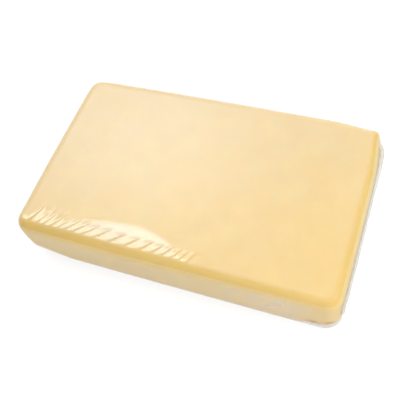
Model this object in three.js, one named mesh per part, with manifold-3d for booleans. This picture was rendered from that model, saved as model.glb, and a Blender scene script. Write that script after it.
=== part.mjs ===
// A large block of semi-hard cheese, shrink-wrapped in clear film.
// The block lies flat on its base: +X along its length, +Y to its back, +Z up.
// The film hugs the cheese, so block and film are one closed body. Along the front left
// of the top the film gathers in a fan of creases, and at both ends its seal is folded down.

import * as THREE from 'three';
import { mergeVertices } from 'three/addons/utils/BufferGeometryUtils.js';
import Module from 'manifold-3d';

// Driving dimensions of the block, in millimetres
const LENGTH = 497;
const WIDTH = 302;
const HEIGHT = 87.5;
const TOP_RADIUS = 15;
const BASE_RADIUS = 11;
const CORNER_RADIUS = 21;

// How far the soft block swells and slumps
const SIDE_BOW = 2;
const END_BOW = 1.2;
const BOW_HEIGHT = 40;
const BASE_BOW_SHARE = 0.35;
const CROWN = 1.5;

// The front of the top rolls down along its left part, from a line with two bulges towards the back
const ROLL_SLOPE = 0.085;
const ROLL_EASE = 10;
const ROLL_Y = -134;
const ROLL_BACK_Y = -99;
const ROLL_END_X = 60;
const ROLL_FADE = 60;
const ROLL_BULGES = [
  { middle: -52, left: 157, right: 76, depth: 35 },
  { middle: -203, left: 25, right: 62, depth: 29 },
];

// The lower front corners are rounded off, the left one far more than the right one
const CORNER_LIFTS = [
  { alongX: -1, lift: 21, length: 86, width: 70, height: 44 },
  { alongX: 1, lift: 5, length: 46, width: 45, height: 36 },
];

// End seal: a flap of film, folded down and standing off towards its lower edge
const FLAP_FOLD_Z = 60;
const FLAP_EDGE_Z = 21;
const FLAP_STEP = 3;
const FLAP_STANDOFF = 1.6;
const FLAP_WAVE = 0.3;
const FLAP_WAVE_LENGTH = 47;
const FLAP_EDGE_WAVE = 3;
const FLAP_MARGIN = 2;

// Tucks: gathered film that juts out round an upright corner, or is drawn in where the reach is negative
const TUCKS = [
  { alongX: 1, alongY: 1, reach: -3, spread: 42, centreZ: 90, halfHeight: 30 },
  { alongX: 1, alongY: 1, reach: 2.4, spread: 70, centreZ: 42, halfHeight: 26 },
  { alongX: -1, alongY: 1, reach: -1.5, spread: 34, centreZ: 90, halfHeight: 30 },
  { alongX: -1, alongY: 1, reach: 2.4, spread: 70, centreZ: 34, halfHeight: 26 },
  { alongX: -1, alongY: -1, reach: 1.5, spread: 30, centreZ: 58, halfHeight: 28 },
];

// Fan of film creases on the top
const CREASE_COUNT = 17;
const CREASE_FIRST_X = -214;
const CREASE_LAST_X = 38;
const CREASE_WIDEST = 0.62;
const CREASE_WIDEST_SPREAD = 0.17;
const CREASE_EXTRA_SPACING = 1.1;
const CREASE_START_Y = -136;
const CREASE_REACH = 12;
const CREASE_EXTRA_REACH = 14;
const CREASE_END_ANGLE = THREE.MathUtils.degToRad(24);
const CREASE_MID_ANGLE = THREE.MathUtils.degToRad(52);
const CREASE_WIDTH = 5;
const CREASE_HEIGHT = 0.8;
const CREASE_SIDES = 8;
const CREASE_RINGS = 6;

const HALF_LENGTH = LENGTH / 2;
const HALF_WIDTH = WIDTH / 2;
const SIDE_TOP = HEIGHT - TOP_RADIUS;

const { clamp, lerp, smoothstep } = THREE.MathUtils;

// Grid lines between stations, with a number of equal steps in each stretch
function gridLines(stations, steps) {
  const lines = [stations[0]];
  steps.forEach((count, stretch) => {
    for (let step = 1; step <= count; step += 1) {
      lines.push(lerp(stations[stretch], stations[stretch + 1], step / count));
    }
  });
  return lines;
}

const LINES_X = gridLines(
  [-HALF_LENGTH, CORNER_RADIUS - HALF_LENGTH, HALF_LENGTH - CORNER_RADIUS, HALF_LENGTH],
  [5, 28, 5],
);
const LINES_Y = gridLines(
  [-HALF_WIDTH, CORNER_RADIUS - HALF_WIDTH, ROLL_BACK_Y, HALF_WIDTH - CORNER_RADIUS, HALF_WIDTH],
  [6, 5, 12, 5],
);
const LINES_Z = gridLines(
  [0, BASE_RADIUS, FLAP_EDGE_Z - FLAP_STEP, FLAP_EDGE_Z, FLAP_FOLD_Z, SIDE_TOP, HEIGHT],
  [3, 1, 1, 4, 1, 5],
);

// Rolls a corner of the box grid into an arc: the core point, the way out and how far out
function planCorner(x, y) {
  const coreX = clamp(x, CORNER_RADIUS - HALF_LENGTH, HALF_LENGTH - CORNER_RADIUS);
  const coreY = clamp(y, CORNER_RADIUS - HALF_WIDTH, HALF_WIDTH - CORNER_RADIUS);
  const outX = x - coreX;
  const outY = y - coreY;
  const length = Math.hypot(outX, outY) || 1;
  const reach = Math.max(Math.abs(outX), Math.abs(outY));
  return { coreX, coreY, normalX: outX / length, normalY: outY / length, reach };
}

// Rolls the top and base edges: new reach and height of a point on the box grid
function edgeFillet(reach, z) {
  const radius = z > HEIGHT / 2 ? TOP_RADIUS : BASE_RADIUS;
  const coreReach = Math.min(reach, CORNER_RADIUS - radius);
  const coreZ = clamp(z, BASE_RADIUS, SIDE_TOP);
  const outReach = reach - coreReach;
  const outZ = z - coreZ;
  const scale = radius / (Math.hypot(outReach, outZ) || radius);
  return { reach: coreReach + outReach * scale, z: coreZ + outZ * scale };
}

// How far a point of the top lies in front of the line where the roll starts
function pastRoll(x, y) {
  let depth = 0;
  for (const bulge of ROLL_BULGES) {
    const reach = x < bulge.middle ? bulge.left : bulge.right;
    depth = Math.max(depth, bulge.depth * hump(x, bulge.middle, reach));
  }
  return Math.max(0, ROLL_Y + depth - y);
}

// Rise of the crown less the roll of the front left edge
function topRelief(x, y) {
  const crown = CROWN * (1 - (x / HALF_LENGTH) ** 2) * (1 - (y / HALF_WIDTH) ** 2);
  const past = pastRoll(x, y);
  const eased = past < ROLL_EASE ? past ** 2 / (2 * ROLL_EASE) : past - ROLL_EASE / 2;
  const leftPart = 1 - smoothstep(x, ROLL_END_X - ROLL_FADE, ROLL_END_X);
  return crown - ROLL_SLOPE * eased * leftPart;
}

// Height of the film over a point of the top, its front fillet included
function topHeight(x, y) {
  const past = Math.max(0, TOP_RADIUS - HALF_WIDTH - y);
  const fillet = TOP_RADIUS - Math.sqrt(TOP_RADIUS ** 2 - past ** 2);
  return HEIGHT - fillet + topRelief(x, y);
}

// How far the folded flap stands off an end face
function flapStandoff(y, z) {
  const wedge = clamp((FLAP_FOLD_Z - z) / (FLAP_FOLD_Z - FLAP_EDGE_Z), 0, 1);
  const above = smoothstep(z, FLAP_EDGE_Z - FLAP_STEP, FLAP_EDGE_Z);
  const wave = 1 - FLAP_WAVE * (1 - Math.cos(2 * Math.PI * y / FLAP_WAVE_LENGTH)) / 2;
  return FLAP_STANDOFF * Math.sqrt(wedge) * above * wave;
}

// A hump of height 1 round a middle
function hump(value, middle, half) {
  return Math.max(0, 1 - ((value - middle) / half) ** 2);
}

// How far the gathered film juts out near the upright corners
function tuckReach(x, y, z) {
  let total = 0;
  for (const tuck of TUCKS) {
    const away = Math.hypot(x - tuck.alongX * HALF_LENGTH, y - tuck.alongY * HALF_WIDTH);
    total += tuck.reach * hump(away, 0, tuck.spread) * hump(z, tuck.centreZ, tuck.halfHeight);
  }
  return total;
}

// How far the rounded-off lower front corners rise
function cornerLift(x, y, z) {
  let total = 0;
  for (const corner of CORNER_LIFTS) {
    const along = smoothstep(corner.alongX * x, HALF_LENGTH - corner.length, HALF_LENGTH);
    const forward = smoothstep(-y, HALF_WIDTH - corner.width, HALF_WIDTH);
    total += corner.lift * along * forward * Math.max(0, 1 - z / corner.height);
  }
  return total;
}

// A point on the plain box grid becomes a point on the wrapped block
function wrappedPoint(boxX, boxY, boxZ) {
  const plan = planCorner(boxX, boxY);
  const edge = edgeFillet(plan.reach, boxZ);
  const atEnd = plan.normalX ** 2 * smoothstep(edge.reach, CORNER_RADIUS - FLAP_MARGIN, CORNER_RADIUS);
  const flap = flapStandoff(boxY, edge.z) * atEnd;
  const rimX = plan.coreX + plan.normalX * plan.reach;
  const rimY = plan.coreY + plan.normalY * plan.reach;
  const tuck = tuckReach(rimX, rimY, edge.z) * (edge.reach / CORNER_RADIUS);
  const out = edge.reach + flap + tuck;

  const x = plan.coreX + plan.normalX * out;
  const y = plan.coreY + plan.normalY * out;
  const bow = lerp(BASE_BOW_SHARE, 1, smoothstep(edge.z, 0, BOW_HEIGHT));
  const bowedX = x + bow * END_BOW * (x / HALF_LENGTH) * (1 - clamp(y / HALF_WIDTH, -1, 1) ** 2);
  const bowedY = y + bow * SIDE_BOW * (y / HALF_WIDTH) * (1 - clamp(x / HALF_LENGTH, -1, 1) ** 2);

  const relief = topRelief(x, y) * smoothstep(edge.z, HEIGHT / 2, HEIGHT - TOP_RADIUS / 2);
  const lift = cornerLift(x, y, edge.z);
  const edgeRow = Math.max(0, 1 - Math.abs(boxZ - FLAP_EDGE_Z) / (2 * FLAP_STEP));
  const ripple = FLAP_EDGE_WAVE * edgeRow * atEnd * Math.sin(2 * Math.PI * boxY / FLAP_WAVE_LENGTH);
  return new THREE.Vector3(bowedX, bowedY, edge.z + relief + lift + ripple);
}

// The block in its film, without the creases
function slabGeometry() {
  const stepsX = LINES_X.length - 1;
  const stepsY = LINES_Y.length - 1;
  const stepsZ = LINES_Z.length - 1;
  const box = new THREE.BoxGeometry(1, 1, 1, stepsX, stepsY, stepsZ);
  const position = box.attributes.position;
  for (let i = 0; i < position.count; i += 1) {
    const column = Math.round((position.getX(i) + 0.5) * stepsX);
    const row = Math.round((position.getY(i) + 0.5) * stepsY);
    const level = Math.round((position.getZ(i) + 0.5) * stepsZ);
    const point = wrappedPoint(LINES_X[column], LINES_Y[row], LINES_Z[level]);
    position.setXYZ(i, point.x, point.y, point.z);
  }
  return box;
}

// Where the creases start along the front: they lie further apart right of the middle
function creaseFeet() {
  const places = [0];
  for (let index = 1; index < CREASE_COUNT; index += 1) {
    const share = index / (CREASE_COUNT - 1);
    const widened = Math.exp(-(((share - CREASE_WIDEST) / CREASE_WIDEST_SPREAD) ** 2));
    places.push(places[index - 1] + 1 + CREASE_EXTRA_SPACING * widened);
  }
  return places.map((place) => lerp(CREASE_FIRST_X, CREASE_LAST_X, place / places[CREASE_COUNT - 1]));
}

// One crease: a slim spindle laid on the top, half sunk in the film
function creaseGeometry(startX, share) {
  const angle = lerp(CREASE_END_ANGLE, CREASE_MID_ANGLE, Math.sin(Math.PI * share));
  const reach = CREASE_REACH + CREASE_EXTRA_REACH * (1 - share) ** 2;
  const length = reach / Math.cos(angle);
  const spindle = new THREE.SphereGeometry(1, CREASE_SIDES, CREASE_RINGS);
  spindle.scale(CREASE_WIDTH / 2, length / 2, CREASE_HEIGHT);
  spindle.rotateZ(-angle);
  spindle.translate(
    startX + Math.sin(angle) * length / 2,
    CREASE_START_Y + Math.cos(angle) * length / 2,
    0,
  );
  const position = spindle.attributes.position;
  for (let i = 0; i < position.count; i += 1) {
    position.setZ(i, position.getZ(i) + topHeight(position.getX(i), position.getY(i)));
  }
  return spindle;
}

const wasm = await Module();
wasm.setup();

// A closed geometry as a solid that can be joined
function toSolid(geometry) {
  geometry.deleteAttribute('normal');
  geometry.deleteAttribute('uv');
  const merged = mergeVertices(geometry, 1e-4);
  return new wasm.Manifold(new wasm.Mesh({
    numProp: 3,
    vertProperties: new Float32Array(merged.attributes.position.array),
    triVerts: new Uint32Array(merged.index.array),
  }));
}

// A joined solid as a geometry, centred over the middle of its base
function toGeometry(solid) {
  const mesh = solid.getMesh();
  const geometry = new THREE.BufferGeometry();
  geometry.setAttribute('position', new THREE.BufferAttribute(new Float32Array(mesh.vertProperties), 3));
  geometry.setIndex(new THREE.BufferAttribute(new Uint32Array(mesh.triVerts), 1));
  geometry.computeBoundingBox();
  const middle = geometry.boundingBox.getCenter(new THREE.Vector3());
  geometry.translate(-middle.x, -middle.y, -geometry.boundingBox.min.z);
  geometry.computeVertexNormals();
  return geometry;
}

let wrapped = toSolid(slabGeometry());
creaseFeet().forEach((startX, index) => {
  wrapped = wrapped.add(toSolid(creaseGeometry(startX, index / (CREASE_COUNT - 1))));
});

const cheese = new THREE.MeshStandardMaterial({ color: 0xf4d694, roughness: 0.3, metalness: 0 });
const block = new THREE.Mesh(toGeometry(wrapped), cheese);
block.name = 'wrapped_cheese';

const part = new THREE.Group();
part.add(block);

export default part;
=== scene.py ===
# A large block of cheese in clear shrink film, lying flat on a pale floor under soft light.
# Lengths are in millimetres until a mesh is made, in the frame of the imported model.
import math

import bpy
import numpy as np
from mathutils import Matrix, Vector


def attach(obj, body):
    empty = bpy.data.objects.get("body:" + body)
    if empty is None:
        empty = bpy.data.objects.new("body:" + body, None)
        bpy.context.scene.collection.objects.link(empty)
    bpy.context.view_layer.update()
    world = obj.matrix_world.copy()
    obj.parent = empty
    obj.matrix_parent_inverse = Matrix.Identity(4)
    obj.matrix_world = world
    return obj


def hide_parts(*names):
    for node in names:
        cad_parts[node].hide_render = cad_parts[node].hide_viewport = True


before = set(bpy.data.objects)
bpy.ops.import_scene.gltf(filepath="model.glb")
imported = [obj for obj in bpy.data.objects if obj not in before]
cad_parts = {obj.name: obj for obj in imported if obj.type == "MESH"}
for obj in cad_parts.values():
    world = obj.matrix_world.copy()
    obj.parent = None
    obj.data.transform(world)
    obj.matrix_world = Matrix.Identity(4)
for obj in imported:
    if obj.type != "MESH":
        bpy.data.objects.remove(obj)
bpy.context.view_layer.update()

MM = 0.001

# Driving dimensions of the block, the same as the solid's
LENGTH = 497
WIDTH = 302
HEIGHT = 87.5
TOP_RADIUS = 15
BASE_RADIUS = 11
CORNER_RADIUS = 21
HALF_LENGTH = LENGTH / 2
HALF_WIDTH = WIDTH / 2
SIDE_TOP = HEIGHT - TOP_RADIUS
LEVELS = (0, BASE_RADIUS, SIDE_TOP, HEIGHT)

# How far the soft block bows, and how its ends swell low down
SIDE_BOW = 2
END_BOW = 1.2
BOW_HEIGHT = 40
BASE_BOW_SHARE = 0.35
CROWN = 1.5
END_SWELL = 1.9
END_SWELL_Z = 32
END_SWELL_HALF = 42
END_SWELL_DEPTH = 60
END_SWELL_POWER = 8

# The front of the top rolls down along its left part, from a line with two bulges towards the back
# A bulge has a middle, a reach to the left, a reach to the right and a depth
ROLL_SLOPE = 0.085
ROLL_EASE = 10
ROLL_Y = -134
ROLL_END_X = 60
ROLL_FADE = 60
ROLL_LONG_BULGE = (-52, 157, 82, 35)
ROLL_CORNER_BULGE = (-203, 25, 62, 29)
STEEP_Y = -121
STEEP_SLOPE = 0.06

# Lower corners that are rounded off: side in x and y, lift, length, width and height
# At the front right the cheese is rounded off more than the film that spans the corner
FRONT_LEFT_LIFT = (-1, -1, 21, 86, 70, 44)
FILM_RIGHT_LIFT = (1, -1, 5, 46, 45, 36)
CHEESE_RIGHT_LIFT = (1, -1, 18, 72, 58, 44)

# Fullness round an upright corner: side in x and y, reach, spread, middle height, half height
# A corner with a negative reach is drawn in, and the tucks are in the film alone
CORNER_FULLNESS = (
    (1, 1, -6.5, 85, 90, 46),
    (1, 1, 6, 21, 90, 50),
    (-1, 1, -1.5, 45, 90, 30),
    (-1, -1, 1.5, 40, 58, 28),
)
FILM_TUCKS = (
    (1, 1, 2.4, 90, 42, 26),
    (-1, 1, 2.4, 90, 34, 26),
)

# Mesh spacing, from one edge of a side to the other
CHEESE_STEPS = (2.5, 6, 2.5)
CHEESE_STEPS_Z = (2, 4, 1.5)
FILM_FINE_X = 60
FILM_FINE_Y = -98
FILM_STEPS_X = (2.5, 0.85, 5, 2.5)
FILM_STEPS_Y = (1.3, 0.85, 12, 3)
FILM_STEPS_Z = (1.8, 3.8, 1.5)

# Cheese: its colours, its uneven face, and painted shade underneath and in crevice spots at the
# front right
# A spot has a place in x and z and a size
CHEESE_TINTS = (
    (0.3, (0.772, 0.535, 0.160, 1)),
    (0.5, (0.786, 0.553, 0.173, 1)),
    (0.7, (0.800, 0.572, 0.188, 1)),
)
# Colour of the painted shade under the block and in the crevice spots
PAINTED_SHADE_TINT = (0.42, 0.20, 0.035, 1)
CHEESE_INSET = 0.15
CHEESE_WAVE = 0.12
CHEESE_WAVE_LENGTH = 45
CHEESE_SEED = 3
# Painted shade where the cheese turns under towards the floor, by the downward part of its outward
# direction
PAINTED_UNDER_SHADE = (-0.1, 0.5)
# Painted shade in spots where the film folds into crevices at the front right corner
PAINTED_CREVICE_SPOTS = ((214, 23, 10), (236, 30, 8))
PAINTED_CREVICE_STRENGTH = 0.9
PAINTED_CREVICE_FLATNESS = 1.6
PAINTED_CREVICE_Y = -100

# Film: shine face on and edge on, colours, slack waves and gathers
FILM_GAP = 0.6
FILM_CLEARANCE = 0.1
FILM_SHINE = (0.075, 0.31)
FILM_ROUGHNESS = 0.09
FILM_MILK = (0.90, 0.885, 0.85, 1)
FILM_CLEAR = (0.995, 0.99, 0.975, 1)
EDGE_ON_POWER = 3
FILM_WAVE = 0.1
FILM_WAVE_LENGTH = 70
FILM_WAVE_LEVEL = (2, 12)
FILM_SEED = 11
TUCK_WAVE = 0.4
TUCK_WAVE_LENGTH = 24
TUCK_SEED = 5

# Creases of the film, in a fan along the front left of the top
CREASE_COUNT = 17
CREASE_FIRST_X = -221
CREASE_LAST_X = 38
CREASE_WIDEST = 0.62
CREASE_WIDENING = 1.1
CREASE_WIDENING_SPREAD = 0.17
CREASE_START_Y = -136
CREASE_REACH = 12
CREASE_EXTRA_REACH = 20
CREASE_END_ANGLE = math.radians(24)
CREASE_MID_ANGLE = math.radians(52)
CREASE_BEND = 0.006
CREASE_HEIGHT = 1.2
CREASE_DIP = 0.3
CREASE_WIDTH = 1.7
CREASE_RELAX = 5
CREASE_JITTER = 1.2
CREASE_STRENGTH = (0.6, 1.15)
CREASE_LEFT_GAIN = 0.75
CREASE_MID_GAIN = 0.25
CREASE_MID_RISE = (0.3, 0.5)
CREASE_RIGHT_GAIN = 0.4
CREASE_RIGHT_RISE = (0.7, 1)
CREASE_FOOT_FADE = (-7, 3)
CREASE_TIP_FADE = (0.7, 1.15)
CREASE_LEVEL = (HEIGHT - 16, HEIGHT - 8)
CREASE_SEED = 8

# Milkiness of the film, from 0 where it is clear to 1, and the ramps that bound each part of it;
# some parts are painted sheen, light and glare, as marked
# A tilt is the upward part of the film's outward direction
BASE_HAZE = 0.025
BASE_HAZE_GAIN = 0.025
BASE_HAZE_X = (-200, -60)
TOP_HAZE = 0.08
# Painted reflection sheen on the top, growing towards the back left over the film's even milkiness
TOP_PAINTED_SHEEN_GAIN = 0.12
TOP_PAINTED_SHEEN_SKEW = 0.5
TOP_PAINTED_SHEEN_RAMP = (-250, 200)
TOP_TILT = (0.90, 0.995)
# Painted light on the rims turned back and left, lightening them where they fall in shade
AWAY_PAINTED_LIGHT = 0.11
AWAY_TURN = (0.05, 0.4)
AWAY_TILT = (0.05, 0.3)
# Gathered film in the pleats turns milky, and this milkiness also paints in the white of the glare
# there
PLEAT_HAZE_AND_GLARE = 0.17
PLEAT_RISE = (1, 16)
PLEAT_FRONT_Y = (-118, -135)
PLEAT_FRONT_LOSS = 0.75
PLEAT_TILT = (0.93, 0.985)
PLEAT_LEFT_X = (-120, -180)
PLEAT_LEFT_LOSS = 0.7
WALL_HAZE = 0.08
WALL_HAZE_GAIN = 0.10
WALL_HAZE_X = (40, 180)
WALL_TILT = (0.5, 0.1)
MOTTLE = 0.3
MOTTLE_LENGTH = 26
MOTTLE_SQUASH = 1.3
MOTTLE_SEED = 17
CLEAR_CORNER_X = (188, 226)
CLEAR_CORNER_Y = (-60, -110)
CLEAR_CORNER_Z = (14, 26)
CLEAR_CORNER_LOSS = 0.9
TUCK_HAZE = 0.05
LIP_HAZE = 0.22
LIP_INSET = 25
LIP_REACH = 55
LIP_LEVEL = (16, 8)

# End seal: a flap of doubled film, folded down and standing off towards its wavy lower edge
# Shares run from 0 at the fold to 1 at the lower edge
FLAP_FOLD_Z = 65
FLAP_EDGE_Z = 21
FLAP_WRAP = 11
FLAP_SHIFT = 4
FLAP_THICKNESS = 0.35
FLAP_GAP = 0.3
FLAP_STANDOFF = 0.9
FLAP_FOLLOW = 0.4
FLAP_FOLLOW_SHARE = 0.5
FLAP_BACK_LIFT = 1.1
FLAP_BACK_Y = (50, 120)
FLAP_WAVE = 0.3
FLAP_WAVE_LENGTH = 47
FLAP_EDGE_WAVE = 1.6
FLAP_SECOND_WAVE = 0.8
FLAP_SECOND_RATE = 1.63
FLAP_SECOND_PHASE = 1
FLAP_CORNER_RISE = 16
FLAP_CORNER_START = 0.9
FLAP_STRIP_SHARE = (0.68, 0.74)
FLAP_RIDGE = 0.16
FLAP_RIDGE_PITCH = 3
FLAP_CRIMP = 0.35
FLAP_CRIMP_LENGTH = 14
FLAP_CRIMP_STRETCH = 0.35
FLAP_SEED = 21
FLAP_COLUMNS = 150
FLAP_ROWS = 64
SEAL_SHINE = (0.06, 0.25)
SEAL_ROUGHNESS = 0.12
SEAL_CLEAR = (0.98, 0.965, 0.935, 1)
SEAL_HAZE = 0.08
SEAL_STRIP_HAZE = 0.14

# Floor, in metres
FLOOR_HALF = 6.0
FLOOR_Z = -0.0002

# Light: a pale backdrop for the camera, a dome, a glow round one direction, walls on two sides,
# and a panel overhead given by its slopes x/z and y/z
BACKDROP_LIGHT = 1.15
DOME_LIGHT = 0.03
GLOW_WAY = (-0.43, 0.50, 0.755)
GLOW_SPREAD = math.radians(21)
GLOW_LIGHT = 2.6
WALL_WAY = (-0.65, 0.75, 0.15)
WALL_EDGE = (0.0, 0.95)
WALL_LIGHT = 1.4
FAR_WALL_WAY = (0.75, -0.65, 0.12)
FAR_WALL_LIGHT = 0.45
PANEL_LEFT = (-1.5, -1.2)
PANEL_RIGHT = (-0.42, -0.30)
PANEL_FRONT = (-0.16, 0.22)
PANEL_BACK = (0.22, 0.40)
PANEL_LOWEST = 0.05
PANEL_LIGHT = 5.6

# Soft lamps: name, place and aim in metres, width, depth and watts
LAMP_COLOUR = (0.94, 1.0, 1.0)
LAMPS = (
    ("key_box", (0.76, 0.12, 1.2), (0.1, 0, 0.05), 1.2, 1.2, 9.3),
    ("front_box", (0.54, -0.8, 0.93), (0.1, 0, 0.05), 1.2, 1.2, 9.1),
    ("back_box", (-1.1, 1.1, 0.35), (0, 0, 0.04), 1.2, 0.6, 4.6),
    ("right_box", (1.2, 0.2, 0.3), (0.25, 0, 0.04), 0.8, 0.5, 1.2),
)

# Camera fitted to the photograph's outline
CAMERA_PLACE = Vector((282.0, -436.1, 821.2)) * MM
CAMERA_RIGHT = Vector((0.9300, 0.3343, -0.1527))
CAMERA_UP = Vector((-0.2115, 0.8265, 0.5218))
CAMERA_BACK = Vector((0.3006, -0.4530, 0.8393))
CAMERA_LENS = 54
CAMERA_SENSOR = 36


# Shape helpers


def smooth(value, low, high):
    """Eased step from 0 at low to 1 at high, which may be the smaller of the two."""
    share = np.clip((value - low) / (high - low), 0, 1)
    return share * share * (3 - 2 * share)


def hump(value, middle, half):
    """Rounded rise to 1 at middle, and 0 beyond half either side."""
    return np.maximum(0, 1 - ((value - middle) / half) ** 2)


def ripples(points, wavelength, seed, waves=10):
    """Even, random waves of about the given length, of height about 1."""
    draw = np.random.default_rng(seed)
    heading = draw.normal(size=(waves, 3))
    heading /= np.linalg.norm(heading, axis=1, keepdims=True)
    pace = 2 * np.pi / wavelength * draw.uniform(0.7, 1.4, size=(waves, 1))
    phase = draw.uniform(0, 2 * np.pi, waves)
    return np.sin(points @ (heading * pace).T + phase).sum(axis=1) / math.sqrt(waves)


def side_stations(half, *between):
    """Both ends of a side, the starts of its rounded corners, and any lines between them."""
    straight = half - CORNER_RADIUS
    return [-half, -straight, *between, straight, half]


def grid_lines(stations, spacings):
    """Lines between stations, with about the given spacing in each stretch."""
    lines = [stations[0]]
    for start, end, spacing in zip(stations, stations[1:], spacings):
        count = max(1, round((end - start) / spacing))
        lines.extend(start + (end - start) * step / count for step in range(1, count + 1))
    return np.array(lines, float)


def sheet_faces(number, flip):
    """Four-sided faces over a grid of point numbers."""
    corners = (number[:-1, :-1], number[1:, :-1], number[1:, 1:], number[:-1, 1:])
    faces = np.stack(corners, axis=-1).reshape(-1, 4)
    return faces[:, ::-1] if flip else faces


def box_grid(lines_x, lines_y, lines_z):
    """Points and outward faces of a box that is split along the given lines."""
    on_skin = np.zeros((len(lines_x), len(lines_y), len(lines_z)), bool)
    on_skin[[0, -1]] = True
    on_skin[:, [0, -1]] = True
    on_skin[:, :, [0, -1]] = True
    number = np.full(on_skin.shape, -1)
    number[on_skin] = np.arange(on_skin.sum())
    column, row, level = np.nonzero(on_skin)
    points = np.stack([lines_x[column], lines_y[row], lines_z[level]], axis=1)
    sheets = (
        (number[0], True),
        (number[-1], False),
        (number[:, 0], False),
        (number[:, -1], True),
        (number[:, :, 0], True),
        (number[:, :, -1], False),
    )
    return points, np.concatenate([sheet_faces(sheet, flip) for sheet, flip in sheets])


def thick_sheet(middle, normal, thickness):
    """Points and outward faces of a closed sheet, from a grid of its middle surface."""
    front = (middle + normal * thickness / 2).reshape(-1, 3)
    back = (middle - normal * thickness / 2).reshape(-1, 3)
    number = np.arange(front.shape[0]).reshape(middle.shape[:2])
    rim = np.concatenate([number[:-1, 0], number[-1, :-1], number[:0:-1, -1], number[0, :0:-1]])
    after = np.roll(rim, -1)
    rim_faces = np.stack([rim, after, after + number.size, rim + number.size], axis=1)
    sheets = (sheet_faces(number, True), sheet_faces(number, False) + number.size, rim_faces)
    return np.concatenate([front, back]), np.concatenate(sheets)


def point_normals(points, faces):
    """Outward direction at each point of a closed mesh."""
    first = points[faces[:, 2]] - points[faces[:, 0]]
    second = points[faces[:, 3]] - points[faces[:, 1]]
    flat = np.cross(first, second)
    total = np.zeros_like(points)
    for corner in range(4):
        np.add.at(total, faces[:, corner], flat)
    return total / np.maximum(np.linalg.norm(total, axis=1, keepdims=True), 1e-9)


# Form of the block


def bulge(x, shape):
    """Rounded rise with its own reach to the left and to the right."""
    middle, left, right, depth = shape
    return depth * hump(x, middle, np.where(x < middle, left, right))


def past_roll(x, y):
    """How far a point of the top lies in front of the line where the roll starts."""
    start = ROLL_Y + np.maximum(bulge(x, ROLL_LONG_BULGE), bulge(x, ROLL_CORNER_BULGE))
    return np.maximum(0, start - y)


def eased_past(past):
    """Distance past a line, with a soft start."""
    return np.where(past < ROLL_EASE, past ** 2 / (2 * ROLL_EASE), past - ROLL_EASE / 2)


def top_relief(x, y):
    """Rise of the crown less the roll of the front left edge."""
    crown = CROWN * (1 - (x / HALF_LENGTH) ** 2) * (1 - (y / HALF_WIDTH) ** 2)
    roll = ROLL_SLOPE * eased_past(past_roll(x, y))
    steep = STEEP_SLOPE * eased_past(np.maximum(0, STEEP_Y - y))
    left_part = 1 - smooth(x, ROLL_END_X - ROLL_FADE, ROLL_END_X)
    return crown - (roll + steep) * left_part


def corner_lift(x, y, z, corner):
    """How far a rounded-off lower corner rises."""
    side_x, side_y, lift, length, width, height = corner
    along = smooth(side_x * x, HALF_LENGTH - length, HALF_LENGTH)
    across = smooth(side_y * y, HALF_WIDTH - width, HALF_WIDTH)
    return lift * along * across * np.maximum(0, 1 - z / height)


def corner_reach(x, y, z, corner):
    """How far a full or gathered upright corner juts out."""
    side_x, side_y, reach, spread, middle, half = corner
    away = np.hypot(x - side_x * HALF_LENGTH, y - side_y * HALF_WIDTH)
    return reach * smooth(away, spread, 0) * hump(z, middle, half)


def end_swell(y, z):
    """How far an end bulges out low down, where the cheese slumps."""
    across = 1 - np.clip(y / HALF_WIDTH, -1, 1) ** END_SWELL_POWER
    return END_SWELL * hump(z, END_SWELL_Z, END_SWELL_HALF) * across


def wrapped(points, fullness, lifts):
    """Moves points of a plain box grid on to the block."""
    x, y, z = points.T
    core_x = np.clip(x, CORNER_RADIUS - HALF_LENGTH, HALF_LENGTH - CORNER_RADIUS)
    core_y = np.clip(y, CORNER_RADIUS - HALF_WIDTH, HALF_WIDTH - CORNER_RADIUS)
    out_x = x - core_x
    out_y = y - core_y
    length = np.maximum(np.hypot(out_x, out_y), 1e-9)
    normal_x = out_x / length
    normal_y = out_y / length
    reach = np.maximum(np.abs(out_x), np.abs(out_y))

    radius = np.where(z > HEIGHT / 2, TOP_RADIUS, BASE_RADIUS)
    core_reach = np.minimum(reach, CORNER_RADIUS - radius)
    core_z = np.clip(z, BASE_RADIUS, SIDE_TOP)
    out_reach = reach - core_reach
    out_z = z - core_z
    scale = radius / np.maximum(np.hypot(out_reach, out_z), 1e-9)
    round_reach = core_reach + out_reach * scale
    round_z = core_z + out_z * scale

    rim_x = core_x + normal_x * reach
    rim_y = core_y + normal_y * reach
    extra = sum(corner_reach(rim_x, rim_y, round_z, corner) for corner in fullness)
    out = round_reach + extra * round_reach / CORNER_RADIUS
    x = core_x + normal_x * out
    y = core_y + normal_y * out

    bow = BASE_BOW_SHARE + (1 - BASE_BOW_SHARE) * smooth(round_z, 0, BOW_HEIGHT)
    bowed_x = x + bow * END_BOW * (x / HALF_LENGTH) * (1 - np.clip(y / HALF_WIDTH, -1, 1) ** 2)
    bowed_y = y + bow * SIDE_BOW * (y / HALF_WIDTH) * (1 - np.clip(x / HALF_LENGTH, -1, 1) ** 2)
    near_end = smooth(np.abs(x), HALF_LENGTH - END_SWELL_DEPTH, HALF_LENGTH)
    bowed_x = bowed_x + np.sign(x) * near_end * end_swell(y, round_z)
    relief = top_relief(x, y) * smooth(round_z, HEIGHT / 2, HEIGHT - TOP_RADIUS / 2)
    lift = sum(corner_lift(x, y, round_z, corner) for corner in lifts)
    return np.stack([bowed_x, bowed_y, round_z + relief + lift], axis=1)


# Surface of the cheese and the film


def cheese_painted_shade(points, normals):
    """How much painted shade darkens the cheese at each point, where it turns under and in crevice
    spots at the front right.
    """
    x, y, z = points.T
    # Painted shade where the cheese turns under towards the floor
    painted_shade = smooth(-normals[:, 2], *PAINTED_UNDER_SHADE)
    # Painted shade in crevice spots where the film folds in at the front right
    for spot_x, spot_z, size in PAINTED_CREVICE_SPOTS:
        away = np.hypot(x - spot_x, PAINTED_CREVICE_FLATNESS * (z - spot_z))
        painted_shade = painted_shade + PAINTED_CREVICE_STRENGTH * hump(away, 0, size) * (y < PAINTED_CREVICE_Y)
    return np.clip(painted_shade, 0, 1)


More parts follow.
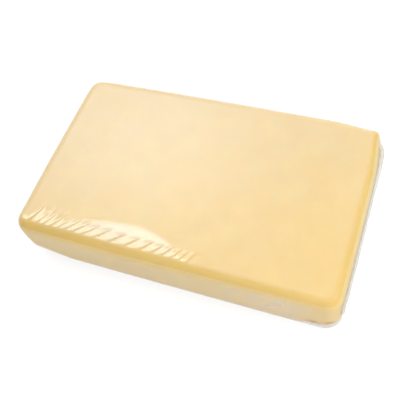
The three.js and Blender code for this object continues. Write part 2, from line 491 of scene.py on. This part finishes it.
def crease_relief(x, y):
    """Folds in the film, steep on one side and slack on the other."""
    draw = np.random.default_rng(CREASE_SEED)
    share = np.linspace(0, 1, CREASE_COUNT)
    from_widest = (share - CREASE_WIDEST) / CREASE_WIDENING_SPREAD
    spacing = 1 + CREASE_WIDENING * np.exp(-(from_widest ** 2))
    place = np.cumsum(spacing) - spacing[0]
    foot = CREASE_FIRST_X + (CREASE_LAST_X - CREASE_FIRST_X) * place / place[-1]
    foot = foot + draw.uniform(-1, 1, CREASE_COUNT) * CREASE_JITTER
    fanned = np.sin(np.pi * share)
    slant = np.tan(CREASE_END_ANGLE + (CREASE_MID_ANGLE - CREASE_END_ANGLE) * fanned)
    reach = CREASE_REACH + CREASE_EXTRA_REACH * (1 - share) ** 2
    gain = CREASE_LEFT_GAIN + CREASE_MID_GAIN * smooth(share, *CREASE_MID_RISE)
    gain = gain + CREASE_RIGHT_GAIN * smooth(share, *CREASE_RIGHT_RISE)
    strength = draw.uniform(*CREASE_STRENGTH, CREASE_COUNT) * gain

    ahead = y[:, None] - CREASE_START_Y
    off = x[:, None] - foot - ahead * slant + CREASE_BEND * ahead * (ahead - reach)
    aside = off / np.hypot(1, slant)
    along = smooth(ahead, *CREASE_FOOT_FADE) * (1 - smooth(ahead / reach, *CREASE_TIP_FADE))
    away = np.abs(aside)
    side = np.where(aside < 0, 1, -CREASE_DIP)
    fold = side * (1 - np.exp(-away / CREASE_WIDTH)) * np.exp(-away / CREASE_RELAX)
    return CREASE_HEIGHT * (strength * along * fold).sum(axis=1)


def film_relief(points, gathered):
    """How far the film stands off its even form, but never down to the cheese."""
    x, y, z = points.T
    creases = crease_relief(x, y) * smooth(z, *CREASE_LEVEL)
    waves = FILM_WAVE * ripples(points, FILM_WAVE_LENGTH, FILM_SEED) * smooth(z, *FILM_WAVE_LEVEL)
    gathers = TUCK_WAVE * gathered * ripples(points, TUCK_WAVE_LENGTH, TUCK_SEED)
    return np.maximum(creases + waves + gathers, FILM_CLEARANCE - FILM_GAP)


def film_haze_and_sheen(points, normals, gathered):
    """How milky the film is at each point, with painted light added: a reflection sheen on the top,
    light on the rims turned back and left, and glare in the pleats.
    """
    x, y, z = points.T
    turn_x, turn_y, tilt = normals.T
    base = BASE_HAZE + BASE_HAZE_GAIN * smooth(x, *BASE_HAZE_X)

    # Even milkiness of the top, with a painted reflection sheen growing towards the back left
    top = TOP_HAZE + TOP_PAINTED_SHEEN_GAIN * smooth(y - TOP_PAINTED_SHEEN_SKEW * x, *TOP_PAINTED_SHEEN_RAMP)
    # Painted light on the rims turned back and left
    away = AWAY_PAINTED_LIGHT * smooth(turn_y - turn_x, *AWAY_TURN) * smooth(tilt, *AWAY_TILT)
    top = np.maximum(top * smooth(tilt, *TOP_TILT), away)

    # Milky pleats, which also carry painted glare
    pleated = smooth(past_roll(x, y), *PLEAT_RISE) * smooth(tilt, *PLEAT_TILT)
    pleated = pleated * (1 - PLEAT_FRONT_LOSS * smooth(y, *PLEAT_FRONT_Y))
    pleated = pleated * (1 - PLEAT_LEFT_LOSS * smooth(x, *PLEAT_LEFT_X))

    mottled = 1 + MOTTLE * ripples(points * (1, 1, MOTTLE_SQUASH), MOTTLE_LENGTH, MOTTLE_SEED)
    wall = (WALL_HAZE + WALL_HAZE_GAIN * smooth(x, *WALL_HAZE_X)) * smooth(tilt, *WALL_TILT)
    corner = smooth(x, *CLEAR_CORNER_X) * smooth(y, *CLEAR_CORNER_Y) * smooth(z, *CLEAR_CORNER_Z)
    wall = wall * mottled * (1 - CLEAR_CORNER_LOSS * corner)

    from_lip = np.hypot(x - HALF_LENGTH + LIP_INSET, y + HALF_WIDTH)
    lip = hump(from_lip, 0, LIP_REACH) * smooth(z, *LIP_LEVEL)
    tucked = np.clip(gathered, 0, 1)
    return base + top + wall + PLEAT_HAZE_AND_GLARE * pleated + TUCK_HAZE * tucked + LIP_HAZE * lip


# Form of the end seals


def end_outline(along):
    """Place and outward direction round an end of the block, by distance from its middle."""
    straight = HALF_WIDTH - CORNER_RADIUS
    turn = np.maximum(0, np.abs(along) - straight) / CORNER_RADIUS
    y = np.sign(along) * (np.minimum(np.abs(along), straight) + CORNER_RADIUS * np.sin(turn))
    x = HALF_LENGTH - CORNER_RADIUS * (1 - np.cos(turn))
    return x, y, np.cos(turn), np.sign(along) * np.sin(turn)


def flap_form(side):
    """Grid of a flap at the right end, with the corners of the given side of the block.

    Returns its middle surface, its outward directions and where it is sealed.
    """
    half = HALF_WIDTH - CORNER_RADIUS + FLAP_WRAP
    across, down = np.meshgrid(
        np.linspace(-1, 1, FLAP_COLUMNS + 1), np.linspace(0, 1, FLAP_ROWS + 1), indexing="ij",
    )
    along = across * half + FLAP_SHIFT
    x, y, normal_x, normal_y = end_outline(along)
    turn = 2 * np.pi * along / FLAP_WAVE_LENGTH
    wave = np.sin(turn) + FLAP_SECOND_WAVE * np.sin(FLAP_SECOND_RATE * turn + FLAP_SECOND_PHASE)
    rounded = FLAP_CORNER_RISE * smooth(np.abs(across), FLAP_CORNER_START, 1) ** 2
    edge = FLAP_EDGE_Z + FLAP_EDGE_WAVE * wave + rounded
    z = FLAP_FOLD_Z + (edge - FLAP_FOLD_Z) * down

    slack = 1 - FLAP_WAVE * (1 - np.cos(turn)) / 2
    sealed = smooth(down, *FLAP_STRIP_SHARE)
    ridges = FLAP_RIDGE * sealed * np.sin(2 * np.pi * (z - edge) / FLAP_RIDGE_PITCH)
    flat = np.stack([x, y, FLAP_CRIMP_STRETCH * z], axis=-1).reshape(-1, 3)
    crimp = ripples(flat, FLAP_CRIMP_LENGTH, FLAP_SEED + side).reshape(x.shape)
    corners = [corner for corner in CORNER_FULLNESS + FILM_TUCKS if corner[0] == side]
    fuller = sum(corner_reach(side * x, y, z, corner) for corner in corners)
    drawn_in = FLAP_FOLLOW * np.minimum(fuller, 0) * (1 - smooth(down, 0, FLAP_FOLLOW_SHARE))
    out = FLAP_GAP + FLAP_STANDOFF * np.sqrt(down) * slack + FLAP_CRIMP * crimp * down + ridges
    out = out + np.maximum(fuller, 0) + drawn_in
    out = out + FLAP_BACK_LIFT * smooth(y, *FLAP_BACK_Y) * smooth(down, 0, 1)

    bow = END_BOW * (1 - (y / HALF_WIDTH) ** 2) + end_swell(y, z)
    middle = np.stack([x + bow + normal_x * out, y + normal_y * out, z], axis=-1)
    normal = np.stack([normal_x, normal_y, np.zeros_like(x)], axis=-1)
    return middle, normal, sealed


# Materials


def new_material(name):
    """An empty node material, with functions that link and add its nodes."""
    material = bpy.data.materials.new(name)
    material.use_nodes = True
    tree = material.node_tree
    tree.nodes.clear()

    def add(kind, **inputs):
        node = tree.nodes.new(kind)
        for key, value in inputs.items():
            node.inputs[key.replace("_", " ")].default_value = value
        return node

    return material, tree.links.new, add


def ramp_node(add, stops):
    """A colour ramp with the given places and colours."""
    ramp = add("ShaderNodeValToRGB")
    elements = ramp.color_ramp.elements
    for element, (place, colour) in zip(elements, (stops[0], stops[-1])):
        element.position = place
        element.color = colour
    for place, colour in stops[1:-1]:
        elements.new(place).color = colour
    return ramp


def cheese_material():
    """Pale yellow cheese: faint mottling, a fine curd grain, light that soaks in, and painted shade
    read from a point attribute.
    """
    material, link, add = new_material("cheese")
    place = add("ShaderNodeTexCoord")
    mottle = add("ShaderNodeTexNoise", Scale=22.0, Detail=4.0, Roughness=0.55)
    tint = ramp_node(add, CHEESE_TINTS)
    # Painted shade darkens the tint underneath and in the crevice spots
    painted_shade = add("ShaderNodeAttribute")
    painted_shade.attribute_name = "painted_shade"
    darker = add("ShaderNodeMix")
    darker.data_type = "RGBA"
    darker.inputs["B"].default_value = PAINTED_SHADE_TINT
    grain = add("ShaderNodeTexNoise", Scale=420.0, Detail=3.0, Roughness=0.6)
    bump = add("ShaderNodeBump", Strength=0.004, Distance=0.001)
    skin = add("ShaderNodeBsdfPrincipled", Roughness=0.5)
    skin.inputs["Specular IOR Level"].default_value = 0.2
    skin.inputs["Subsurface Weight"].default_value = 0.6
    skin.inputs["Subsurface Radius"].default_value = (1.0, 0.5, 0.2)
    skin.inputs["Subsurface Scale"].default_value = 0.009
    output = add("ShaderNodeOutputMaterial")
    link(place.outputs["Object"], mottle.inputs["Vector"])
    link(place.outputs["Object"], grain.inputs["Vector"])
    link(mottle.outputs["Fac"], tint.inputs["Fac"])
    link(painted_shade.outputs["Fac"], darker.inputs["Factor"])
    link(tint.outputs["Color"], darker.inputs["A"])
    link(darker.outputs["Result"], skin.inputs["Base Color"])
    link(grain.outputs["Fac"], bump.inputs["Height"])
    link(bump.outputs["Normal"], skin.inputs["Normal"])
    link(skin.outputs["BSDF"], output.inputs["Surface"])
    return material


def film_material(name, face_shine, edge_shine, roughness, milk, tint):
    """Clear glossy film that turns milky where it is gathered or doubled, and lighter where painted
    sheen is set in the same attribute.
    """
    material, link, add = new_material(name)
    place = add("ShaderNodeTexCoord")
    # Milkiness and painted sheen, from a point attribute
    gathered = add("ShaderNodeAttribute")
    gathered.attribute_name = "haze_and_sheen"
    cloud = add("ShaderNodeTexNoise", Scale=28.0, Detail=3.0, Roughness=0.5)
    uneven = add("ShaderNodeMapRange", From_Min=0.3, From_Max=0.7, To_Min=0.88, To_Max=1.12)
    haze_and_sheen = add("ShaderNodeMath")
    haze_and_sheen.operation = "MULTIPLY"
    haze_and_sheen.use_clamp = True
    clear = add("ShaderNodeBsdfTransparent", Color=tint)
    milky = add("ShaderNodeBsdfPrincipled", Base_Color=milk, Roughness=0.4)
    gloss = add("ShaderNodeBsdfGlossy", Roughness=roughness)
    facing = add("ShaderNodeLayerWeight", Blend=0.5)
    edge_on = add("ShaderNodeMath")
    edge_on.operation = "POWER"
    edge_on.inputs[1].default_value = EDGE_ON_POWER
    shine = add("ShaderNodeMath")
    shine.operation = "MULTIPLY_ADD"
    shine.inputs[1].default_value = edge_shine - face_shine
    shine.inputs[2].default_value = face_shine
    veil = add("ShaderNodeMixShader")
    surface = add("ShaderNodeMixShader")
    output = add("ShaderNodeOutputMaterial")
    link(place.outputs["Object"], cloud.inputs["Vector"])
    link(cloud.outputs["Fac"], uneven.inputs["Value"])
    link(gathered.outputs["Fac"], haze_and_sheen.inputs[0])
    link(uneven.outputs["Result"], haze_and_sheen.inputs[1])
    link(haze_and_sheen.outputs["Value"], veil.inputs["Fac"])
    link(clear.outputs["BSDF"], veil.inputs[1])
    link(milky.outputs["BSDF"], veil.inputs[2])
    link(facing.outputs["Facing"], edge_on.inputs[0])
    link(edge_on.outputs["Value"], shine.inputs[0])
    link(shine.outputs["Value"], surface.inputs["Fac"])
    link(veil.outputs["Shader"], surface.inputs[1])
    link(gloss.outputs["BSDF"], surface.inputs[2])
    link(surface.outputs["Shader"], output.inputs["Surface"])
    return material


def floor_material():
    """Bright, even studio floor."""
    material, link, add = new_material("floor")
    paper = add("ShaderNodeBsdfPrincipled", Base_Color=(0.30, 0.30, 0.30, 1), Roughness=0.9)
    paper.inputs["Emission Color"].default_value = (1, 1, 1, 1)
    paper.inputs["Emission Strength"].default_value = 0.74
    output = add("ShaderNodeOutputMaterial")
    link(paper.outputs["BSDF"], output.inputs["Surface"])
    return material


# Pieces


def new_piece(name, points, faces, material):
    """A smooth-shaded mesh from points in millimetres, riding on the one body."""
    mesh = bpy.data.meshes.new(name)
    mesh.from_pydata((points * MM).tolist(), [], faces.tolist())
    mesh.polygons.foreach_set("use_smooth", [True] * len(mesh.polygons))
    mesh.materials.append(material)
    mesh.update()
    piece = bpy.data.objects.new(name, mesh)
    bpy.context.scene.collection.objects.link(piece)
    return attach(piece, "root")


def paint(piece, name, values):
    """A number at each point, for a material to read."""
    attribute = piece.data.attributes.new(name, "FLOAT", "POINT")
    attribute.data.foreach_set("value", np.ascontiguousarray(values, np.float32))


def make_cheese():
    """The block itself, a little inside the film."""
    lines_x = grid_lines(side_stations(HALF_LENGTH), CHEESE_STEPS)
    lines_y = grid_lines(side_stations(HALF_WIDTH), CHEESE_STEPS)
    lines_z = grid_lines(LEVELS, CHEESE_STEPS_Z)
    box, faces = box_grid(lines_x, lines_y, lines_z)
    points = wrapped(box, CORNER_FULLNESS, (FRONT_LEFT_LIFT, CHEESE_RIGHT_LIFT))
    uneven = CHEESE_WAVE * ripples(points, CHEESE_WAVE_LENGTH, CHEESE_SEED) - CHEESE_INSET
    points = points + point_normals(points, faces) * (uneven - FILM_GAP)[:, None]
    cheese = new_piece("cheese", points, faces, cheese_material())
    # Painted shade underneath and in crevice spots at the front right
    paint(cheese, "painted_shade", cheese_painted_shade(points, point_normals(points, faces)))
    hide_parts("wrapped_cheese")
    return cheese


def make_film():
    """The film that hugs the block, with its creases and tucks."""
    lines_x = grid_lines(side_stations(HALF_LENGTH, FILM_FINE_X), FILM_STEPS_X)
    lines_y = grid_lines(side_stations(HALF_WIDTH, FILM_FINE_Y), FILM_STEPS_Y)
    lines_z = grid_lines(LEVELS, FILM_STEPS_Z)
    box, faces = box_grid(lines_x, lines_y, lines_z)
    even = wrapped(box, CORNER_FULLNESS + FILM_TUCKS, (FRONT_LEFT_LIFT, FILM_RIGHT_LIFT))
    normals = point_normals(even, faces)
    gathered = sum(corner_reach(*even.T, tuck) / tuck[2] for tuck in FILM_TUCKS)
    points = even + normals * film_relief(even, gathered)[:, None]
    points[:, 2] = np.maximum(points[:, 2], 0)
    material = film_material("film", *FILM_SHINE, FILM_ROUGHNESS, FILM_MILK, FILM_CLEAR)
    film = new_piece("film", points, faces, material)
    # Milkiness of the film, with the painted sheen, light and glare added on the top
    paint(film, "haze_and_sheen", film_haze_and_sheen(even, normals, gathered))
    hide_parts("wrapped_cheese")
    return film


def make_end_seal(name, side):
    """The folded seal at one end: side is 1 on the right and -1 on the left."""
    middle, normal, sealed = flap_form(side)
    points, faces = thick_sheet(middle, normal, FLAP_THICKNESS)
    if side < 0:
        points = points * (-1, 1, 1)
        faces = faces[:, ::-1]
    material = film_material(name, *SEAL_SHINE, SEAL_ROUGHNESS, FILM_MILK, SEAL_CLEAR)
    seal = new_piece(name, points, faces, material)
    haze_and_sheen = SEAL_HAZE + SEAL_STRIP_HAZE * sealed.reshape(-1)
    paint(seal, "haze_and_sheen", np.concatenate([haze_and_sheen, haze_and_sheen]))
    return seal


# Stage


def make_floor():
    """A wide floor under the block."""
    mesh = bpy.data.meshes.new("floor")
    corners = ((-1, -1), (1, -1), (1, 1), (-1, 1))
    points = [(x * FLOOR_HALF, y * FLOOR_HALF, FLOOR_Z) for x, y in corners]
    mesh.from_pydata(points, [], [(0, 1, 2, 3)])
    mesh.materials.append(floor_material())
    floor = bpy.data.objects.new("floor", mesh)
    bpy.context.scene.collection.objects.link(floor)


def area_light(name, place, aim, width, depth, watts):
    """A flat soft light at place, facing aim, both in metres."""
    light = bpy.data.lights.new(name, "AREA")
    light.shape = "RECTANGLE"
    light.size = width
    light.size_y = depth
    light.energy = watts
    light.color = LAMP_COLOUR
    lamp = bpy.data.objects.new(name, light)
    lamp.location = place
    lamp.rotation_euler = (Vector(aim) - Vector(place)).to_track_quat("-Z", "Y").to_euler()
    lamp.visible_camera = False
    lamp.visible_glossy = False
    bpy.context.scene.collection.objects.link(lamp)


def make_sky():
    """A dim dome: a glow and a pale wall at the back left, a faint wall opposite, a panel above."""
    world = bpy.data.worlds.new("studio")
    bpy.context.scene.world = world
    world.use_nodes = True
    tree = world.node_tree
    tree.nodes.clear()

    def math_node(operation, first, second):
        node = tree.nodes.new("ShaderNodeMath")
        node.operation = operation
        for socket, value in zip(node.inputs, (first, second)):
            if isinstance(value, (int, float)):
                socket.default_value = value
            else:
                tree.links.new(value, socket)
        return node.outputs["Value"]

    def eased(value, low, high):
        node = tree.nodes.new("ShaderNodeMapRange")
        node.interpolation_type = "SMOOTHSTEP"
        node.inputs["From Min"].default_value = low
        node.inputs["From Max"].default_value = high
        tree.links.new(value, node.inputs["Value"])
        return node.outputs["Result"]

    def along(place, way):
        node = tree.nodes.new("ShaderNodeVectorMath")
        node.operation = "DOT_PRODUCT"
        node.inputs[1].default_value = Vector(way).normalized()
        tree.links.new(place, node.inputs[0])
        return node.outputs["Value"]

    def between(value, near, far):
        inside = math_node("SUBTRACT", 1, eased(value, *far))
        return math_node("MULTIPLY", eased(value, *near), inside)

    place = tree.nodes.new("ShaderNodeTexCoord").outputs["Generated"]
    split = tree.nodes.new("ShaderNodeSeparateXYZ")
    tree.links.new(place, split.inputs["Vector"])
    glow = eased(math_node("ARCCOSINE", along(place, GLOW_WAY), 0), GLOW_SPREAD, 0)
    wall = eased(along(place, WALL_WAY), *WALL_EDGE)
    far_wall = eased(along(place, FAR_WALL_WAY), *WALL_EDGE)
    height = math_node("MAXIMUM", split.outputs["Z"], PANEL_LOWEST)
    aside = between(math_node("DIVIDE", split.outputs["X"], height), PANEL_LEFT, PANEL_RIGHT)
    ahead = between(math_node("DIVIDE", split.outputs["Y"], height), PANEL_FRONT, PANEL_BACK)
    panel = math_node("MULTIPLY", aside, ahead)

    total = DOME_LIGHT
    shapes = (glow, wall, far_wall, panel)
    for shape, strength in zip(shapes, (GLOW_LIGHT, WALL_LIGHT, FAR_WALL_LIGHT, PANEL_LIGHT)):
        total = math_node("ADD", math_node("MULTIPLY", shape, strength), total)
    dome = tree.nodes.new("ShaderNodeBackground")
    backdrop = tree.nodes.new("ShaderNodeBackground")
    backdrop.inputs["Strength"].default_value = BACKDROP_LIGHT
    path = tree.nodes.new("ShaderNodeLightPath")
    choice = tree.nodes.new("ShaderNodeMixShader")
    output = tree.nodes.new("ShaderNodeOutputWorld")
    tree.links.new(total, dome.inputs["Strength"])
    tree.links.new(path.outputs["Is Camera Ray"], choice.inputs["Fac"])
    tree.links.new(dome.outputs["Background"], choice.inputs[1])
    tree.links.new(backdrop.outputs["Background"], choice.inputs[2])
    tree.links.new(choice.outputs["Shader"], output.inputs["Surface"])


def make_camera():
    """The photograph's viewpoint."""
    lens = bpy.data.cameras.new("camera")
    lens.sensor_width = CAMERA_SENSOR
    lens.lens = CAMERA_LENS
    camera = bpy.data.objects.new("camera", lens)
    turn = Matrix((CAMERA_RIGHT, CAMERA_UP, CAMERA_BACK)).transposed()
    camera.matrix_world = Matrix.Translation(CAMERA_PLACE) @ turn.to_4x4()
    bpy.context.scene.collection.objects.link(camera)
    bpy.context.scene.camera = camera


make_camera()
make_cheese()
make_film()
make_end_seal("end_seal_right", 1)
make_end_seal("end_seal_left", -1)
make_floor()
make_sky()
for lamp in LAMPS:
    area_light(*lamp)
bpy.context.scene.view_settings.view_transform = "Standard"
